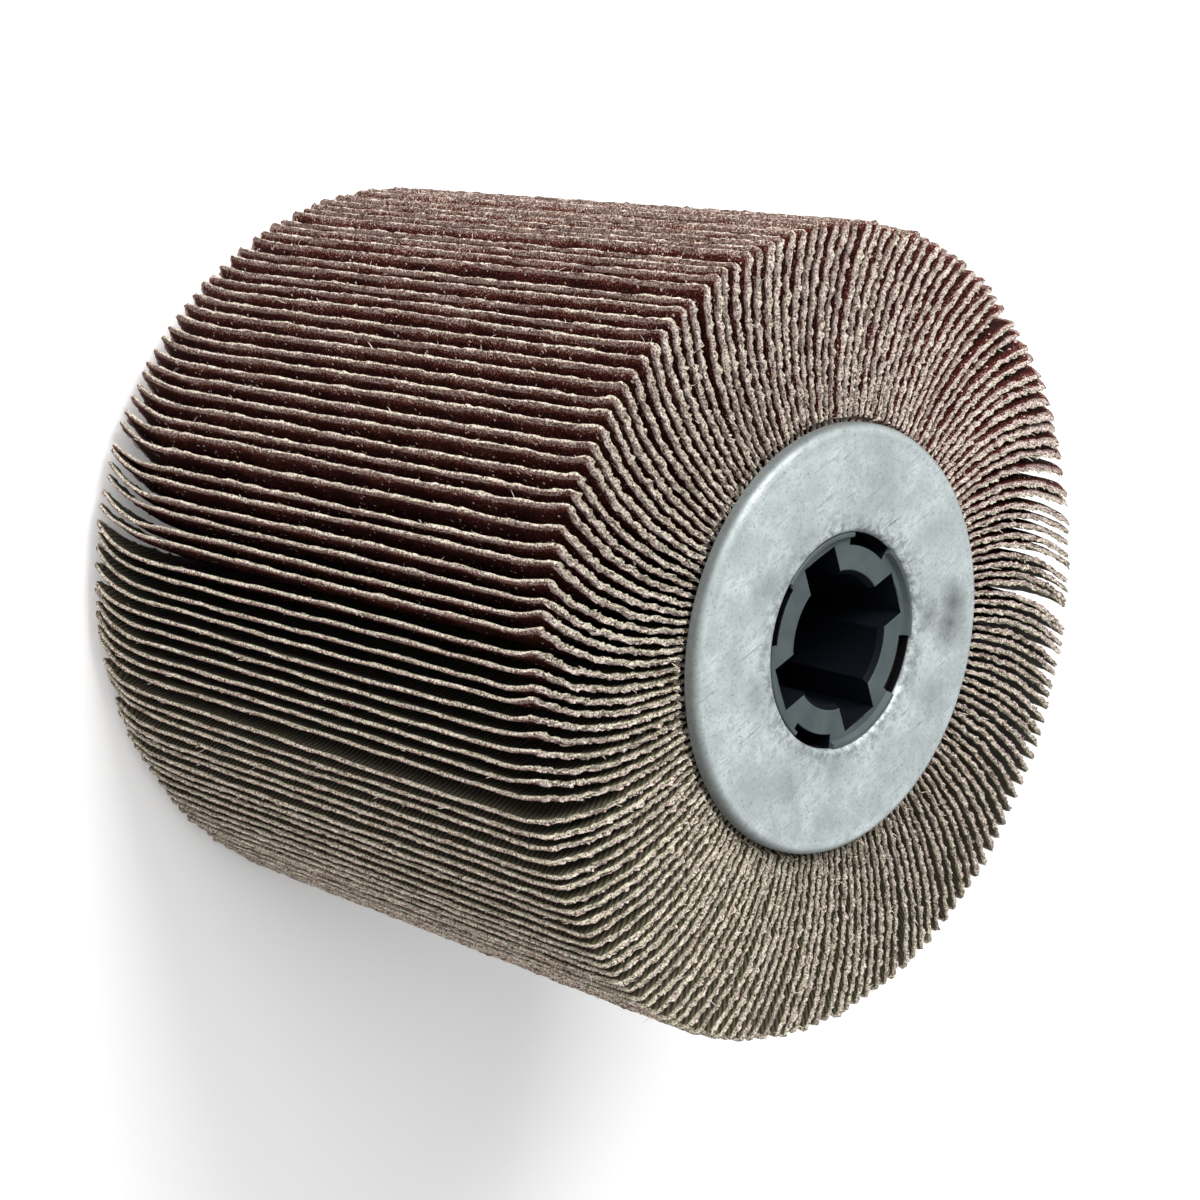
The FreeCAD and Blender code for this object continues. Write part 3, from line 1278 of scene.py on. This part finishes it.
    def add_threads(self, shells: Shells, flap: Array) -> None:
        """Adds loose threads at random places on the cut edges.

        A thread is a thin four-sided tube of three rings on a bent line: forward along its
        tilted direction with the distance, and sideways with half the distance's square.

        Args:
            shells: the mesh that is being put together.
            flap: flap numbers.
        """
        threads = self.threads
        path = self.edge_path(flap)
        shape = (len(flap), threads.each)
        pick = self.random.integers(0, path[0].shape[1], shape)
        row = np.arange(len(flap))[:, None]
        radius, height, out_r, out_z = (value[row, pick][..., None] for value in path)
        drawn = self.random.lognormal(threads.length_mean, threads.length_spread, shape)
        length = np.minimum(drawn, threads.longest)[..., None]
        tilt = self.random.normal(0.0, threads.tilt, shape)[..., None]
        bend = self.random.normal(0.0, threads.bend, shape)[..., None]
        start = self.random.uniform(-threads.start, threads.start, shape)[..., None]
        drift = self.random.normal(0.0, threads.drift, shape)[..., None]
        reach = np.array(threads.rings)
        forward = length * reach
        sideways = forward * np.sin(tilt) + length * bend * reach ** 2 * 0.5
        onward = forward * np.cos(tilt) * threads.onward + threads.lift
        line_r = radius + onward * out_r + sideways * -out_z
        line_z = height + onward * out_z + sideways * out_r
        line_w = start + forward * drift
        thin = np.array(threads.thickness) * self.random.uniform(*threads.thickness_range, shape)[..., None]
        across, up = (thin[..., None] * way(full_turn(4)) for way in (np.sin, np.cos))
        radius = np.clip(line_r[..., None] + up, RESIN_RADIUS, self.tip + threads.overhang)
        quads = tube_quads(len(reach), 4)
        self.add_shells(
            shells, flap, radius, line_z[..., None] + 0.5 * up, line_w[..., None] + across,
            quads, np.full(len(quads), Side.THREAD.value))

    def build(self) -> None:
        """Builds one piece for each sector of flaps, and the hub."""
        finishes = (GrainFinish(), ClothFinish(), CutEdgeFinish(), ThreadFinish())
        materials = [finish.material() for finish in finishes]
        each = self.count // self.sectors
        for sector in range(self.sectors):
            flap = np.arange(sector * each, (sector + 1) * each)
            shells = Shells()
            self.add_faces(shells, flap)
            self.add_edges(shells, flap)
            self.add_threads(shells, flap)
            piece = shells.piece(f"flap_sector_{sector:02d}", materials, self.crease)
            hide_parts("flap_pack")
            finished(piece)
        self.build_hub(ResinFinish().material())

    def build_hub(self, material: Material) -> None:
        """Builds the resin ring that the flaps' roots are cast in, behind the end discs.

        Args:
            material: its material.
        """
        radius = np.array([[self.hub_bore, RESIN_RADIUS, RESIN_RADIUS, self.hub_bore]])
        height = np.array([[self.bottom, self.bottom, self.top, self.top]])
        piece = carried_round(
            "resin_hub", full_turn(self.hub_turns), radius, height, material, self.hub_crease)
        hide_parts("flap_pack")
        finished(piece)


# Discs and core


@dataclass
class EndDisc:
    """A pressed disc: flat face, rolled rim, shallow step inside the rim, and a turned-in lip."""

    node: str
    sheet: float = 1.2
    lip_round: float = 0.9
    lip_steps: int = 8
    lip_heel: float = 0.4
    rim_round: float = 1.2
    rim_steps: int = 12
    rim_heel: float = 0.3
    step_radius: float = 29.5
    step_depth: float = 0.05
    turns: int = 240
    crease: float = 35.0

    def __post_init__(self) -> None:
        """Takes the disc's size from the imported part."""
        low, high = node_box(self.node)
        self.outer = (high[0] - low[0]) / 2
        self.rim_height = high[2] - low[2]
        self.faces_up = low[2] > self.outer
        self.face = high[2] if self.faces_up else low[2]

    def section(self) -> Array:
        """The closed section: lip, step, rim, and back along the inside.

        Returns:
            Array of points (radius, depth from the face into the wheel).
        """
        lip_middle = HOLE_RADIUS + self.lip_round
        lip_inside, rim_inside = HOLE_RADIUS + self.sheet, self.outer - self.sheet
        lip = quarter_arc((lip_middle, self.lip_round), self.lip_round, 180.0, self.lip_steps)
        rim_centre = (self.outer - self.rim_round, self.rim_round)
        rim = quarter_arc(rim_centre, self.rim_round, 270.0, self.rim_steps)
        step = np.array([
            (self.step_radius - 0.3, 0.0),
            (self.step_radius, self.step_depth),
            (self.step_radius + 0.4, self.step_depth * 0.2),
        ])
        inside = np.array([
            (self.outer, self.rim_height),
            (rim_inside, self.rim_height),
            (rim_inside, self.sheet + self.rim_heel),
            (rim_inside - self.rim_heel, self.sheet),
            (lip_middle + self.sheet, self.sheet),
            (lip_inside, self.sheet + self.lip_heel),
            (lip_inside, self.rim_height),
            (HOLE_RADIUS, self.rim_height),
        ])
        return np.concatenate([lip, step, rim, inside])

    def build(self, material: Material) -> None:
        """Builds the disc in place of its node.

        Args:
            material: its material.
        """
        radius, depth = self.section().T[:, None, :]
        inward = -1.0 if self.faces_up else 1.0
        piece = carried_round(
            "pressed_" + self.node, full_turn(self.turns), radius, self.face + inward * depth,
            material, self.crease)
        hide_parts(self.node)
        finished(piece)


@dataclass
class KeyedCore:
    """The moulded core: four lands, four keyways, lead-ins, raised rims and arc pockets.

    The pocket's half span, its margin and the hair between two azimuths are in degrees.
    """

    bore: float = 9.6
    mouth: float = 10.25
    keyway_half: float = 3.45
    keyway_floor: float = 13.75
    recess: float = CORE_ENDS[0]
    rim_recess: float = 0.25
    rim_foot: float = 14.9
    rim_top: float = 15.3
    rim_bevel: float = 0.12
    pocket_inner: float = 14.0
    pocket_wall: float = 0.3
    pocket_half: float = 17.0
    pocket_depth: float = 8.0
    outer: float = 15.88
    edge_round: float = 0.16
    hair: float = 0.05
    margin: float = 0.02
    pocket_margin: float = 0.02
    crease: float = 30.0

    def __post_init__(self) -> None:
        """Takes the core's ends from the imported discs' faces."""
        self.bottom = node_box("lower_end_disc")[0][2]
        self.top = node_box("upper_end_disc")[1][2]

    def azimuths(self) -> Array:
        """Azimuths of one turn, with every corner of keyways and pockets met exactly.

        The keyway's corners are where its straight sides meet the bore and its floor, at the arc
        sine and arc tangent of half its width. A pocket's wall is two azimuths a hair apart.

        Returns:
            Azimuths in radians, in rising order.
        """
        bore_corner = math.degrees(math.asin(self.keyway_half / self.bore))
        floor_corner = math.degrees(math.atan(self.keyway_half / self.keyway_floor))
        pocket_start, pocket_end = 45.0 - self.pocket_half, 45.0 + self.pocket_half
        quarter = np.unique(np.concatenate([
            np.linspace(0.0, floor_corner, 5),
            np.linspace(floor_corner, bore_corner, 7),
            np.linspace(bore_corner, pocket_start, 3),
            np.linspace(pocket_start + self.hair, pocket_end - self.hair, 19),
            np.linspace(pocket_end, 90.0 - bore_corner, 3),
            np.linspace(90.0 - bore_corner, 90.0 - floor_corner, 7),
            np.linspace(90.0 - floor_corner, 90.0, 5)[:-1],
        ]))
        return np.radians((quarter[None, :] + 90.0 * np.arange(4)[:, None]).ravel())

    def inner_radius(self, azimuth: Array, bore: float) -> Array:
        """Distance from the axis to the bore's wall: the bore, or the keyway's side or floor.

        In a keyway it is the smaller of the floor's distance over the cosine and the half width
        over the sine of the angle from the keyway's middle.

        Args:
            azimuth: azimuths in radians.
            bore: the bore's radius.

        Returns:
            The distances.
        """
        from_key = np.abs((azimuth + np.pi / 4) % (np.pi / 2) - np.pi / 4)
        floor = self.keyway_floor / np.cos(from_key)
        side = self.keyway_half / np.maximum(np.sin(from_key), TINY)
        return np.maximum(np.minimum(floor, side), bore)

    def half_section(self, azimuth: Array) -> tuple[Array, Array]:
        """One end's section at each azimuth, from the bore's wall outwards.

        Args:
            azimuth: azimuths in radians.

        Returns:
            Radii, and depths from the disc's face into the core, as azimuths by points.
        """
        wall = self.inner_radius(azimuth, self.bore)
        mouth = self.inner_radius(azimuth, self.mouth)
        from_land = np.abs(azimuth % (np.pi / 2) - np.pi / 4)
        pocket = from_land < math.radians(self.pocket_half - self.pocket_margin)
        keyed = wall > self.bore + TINY
        rounding, recess = self.edge_round, self.recess
        lead = recess + (self.mouth - self.bore) + rounding
        floor = recess + self.pocket_depth
        shoulder = self.pocket_inner - rounding
        # A radius and a depth for each point, where each may differ from azimuth to azimuth.
        points = [
            (wall, np.where(keyed, recess + rounding, lead)),
            (np.where(keyed, wall + 0.35 * rounding, mouth),
             np.where(keyed, recess + 0.35 * rounding, recess + rounding * 0.6)),
            (np.where(keyed, wall + rounding, mouth + rounding), recess),
            (np.where(wall > shoulder - self.margin, wall + 1.2 * rounding, shoulder), recess),
            (np.where(pocket, self.pocket_inner, self.rim_foot),
             np.where(pocket, recess + rounding, recess)),
            (np.where(pocket, self.pocket_inner, self.rim_top), np.where(pocket, floor, self.rim_recess)),
            (np.where(pocket, self.outer - self.pocket_wall, self.outer - self.rim_bevel),
             np.where(pocket, floor, self.rim_recess)),
            (self.outer, np.where(pocket, floor, self.rim_recess + self.rim_bevel)),
            (self.outer, floor + 1.0),
        ]
        full = np.ones_like(azimuth)
        radius, depth = (np.stack([point[part] * full for point in points], -1) for part in (0, 1))
        return radius, depth

    def build(self, material: Material) -> None:
        """Builds the core in place of its node, as one profile carried round the axis.

        Args:
            material: its material.
        """
        azimuth = self.azimuths()
        radius, depth = self.half_section(azimuth)
        radii = np.concatenate([radius, radius[:, ::-1]], 1)
        heights = np.concatenate([self.top - depth, self.bottom + depth[:, ::-1]], 1)
        piece = carried_round("moulded_core", azimuth, radii, heights, material, self.crease)
        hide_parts("keyed_core")
        finished(piece)


# Studio


@dataclass(frozen=True)
class SoftBox:
    """A square studio light, aimed at the wheel's middle from shares of the camera's directions.

    Its distance and size are in metres, and its power in watts.
    """

    name: str
    upwards: float
    rightwards: float
    towards_camera: float
    distance: float
    size: float
    power: float


@dataclass
class Studio:
    """Pale floor, soft light and the camera at the photograph's viewing angle.

    Angles are in degrees, places in metres, and the lens and the sensor in millimetres.
    """

    azimuth: float = 140.47
    elevation: float = 43.48
    roll: float = 103.0
    distance: float = 0.38454
    aim: tuple[float, float, float] = (-0.00025, -0.00254, 0.05375)
    lens: float = 72.57
    sensor: float = 36.0
    nearest: float = 0.01
    sky: float = 0.56
    floor_half: float = 4.0
    floor_colour: Colour = (0.93, 0.93, 0.93)
    floor_glow: float = 0.12
    lights: tuple[SoftBox, ...] = (
        SoftBox("key_light", 0.58, 0.46, 0.60, 1.2, 0.6, 16.0),
        SoftBox("front_light", 0.50, -0.10, 0.90, 1.4, 0.8, 10.0),
        SoftBox("top_light", 1.0, -0.50, 0.15, 1.2, 0.6, 4.0),
        SoftBox("floor_light", -0.70, -0.55, 0.45, 1.3, 0.9, 1.8),
    )

    def turn(self) -> Matrix:
        """The camera's rotation: back along its direction from the wheel, then rolled.

        Returns:
            Matrix of 3 by 3, whose columns are right, up and back.
        """
        azimuth, elevation = math.radians(self.azimuth), math.radians(self.elevation)
        level = math.cos(elevation)
        back = Vector((level * math.cos(azimuth), level * math.sin(azimuth), math.sin(elevation)))
        right = Vector((0.0, 0.0, 1.0)).cross(back).normalized()
        upright = Matrix((right, back.cross(right), back)).transposed()
        return upright @ Matrix.Rotation(math.radians(self.roll), 3, "Z")

    def add_camera(self) -> None:
        """Adds the camera."""
        turn = self.turn()
        data = bpy.data.cameras.new("photo_camera")
        data.lens, data.sensor_width, data.clip_start = self.lens, self.sensor, self.nearest
        camera = new_object("photo_camera", data)
        place = Vector(self.aim) + turn.col[2] * self.distance
        camera.matrix_world = Matrix.Translation(place) @ turn.to_4x4()
        bpy.context.scene.camera = camera

    def add_lights(self) -> None:
        """Adds the soft boxes and the even pale surround."""
        right, up, back = self.turn().col
        for light in self.lights:
            direction = (up * light.upwards + right * light.rightwards
                         + back * light.towards_camera).normalized()
            data = bpy.data.lights.new(light.name, "AREA")
            data.size, data.energy = light.size, light.power
            place = Matrix.Translation(Vector(self.aim) + direction * light.distance)
            facing = direction.to_track_quat("Z", "Y").to_matrix().to_4x4()
            new_object(light.name, data).matrix_world = place @ facing
        world = bpy.data.worlds.new("surround")
        bpy.context.scene.world = world
        world.use_nodes = True
        background = world.node_tree.nodes["Background"]
        background.inputs["Color"].default_value = (1.0, 1.0, 1.0, 1.0)
        background.inputs["Strength"].default_value = self.sky

    def add_floor(self) -> None:
        """Adds the plain pale floor that the wheel stands on, faintly lit as a light table is."""
        material = Sheet("pale_floor").finish({
            "Base Color": self.floor_colour,
            "Roughness": 0.9,
            "Emission Color": (1.0, 1.0, 1.0),
            "Emission Strength": self.floor_glow,
        })
        mesh = bpy.data.meshes.new("floor")
        half = self.floor_half
        corners = [(-half, -half, 0.0), (half, -half, 0.0), (half, half, 0.0), (-half, half, 0.0)]
        mesh.from_pydata(corners, [], [(0, 1, 2, 3)])
        mesh.materials.append(material)
        floor = new_object("floor", mesh)

    def build(self) -> None:
        """Adds the floor, the lights and the camera."""
        bpy.context.scene.view_settings.view_transform = "Standard"
        self.add_floor()
        self.add_lights()
        self.add_camera()


def main() -> None:
    """Builds the studio and the wheel's pieces."""
    logging.basicConfig(level=logging.INFO, format="%(message)s")
    Studio().build()
    steel = SteelFinish().material()
    FlapPack().build()
    EndDisc("upper_end_disc").build(steel)
    EndDisc("lower_end_disc").build(steel)
    KeyedCore().build(PlasticFinish().material())


if __name__ == "__main__":
    main()
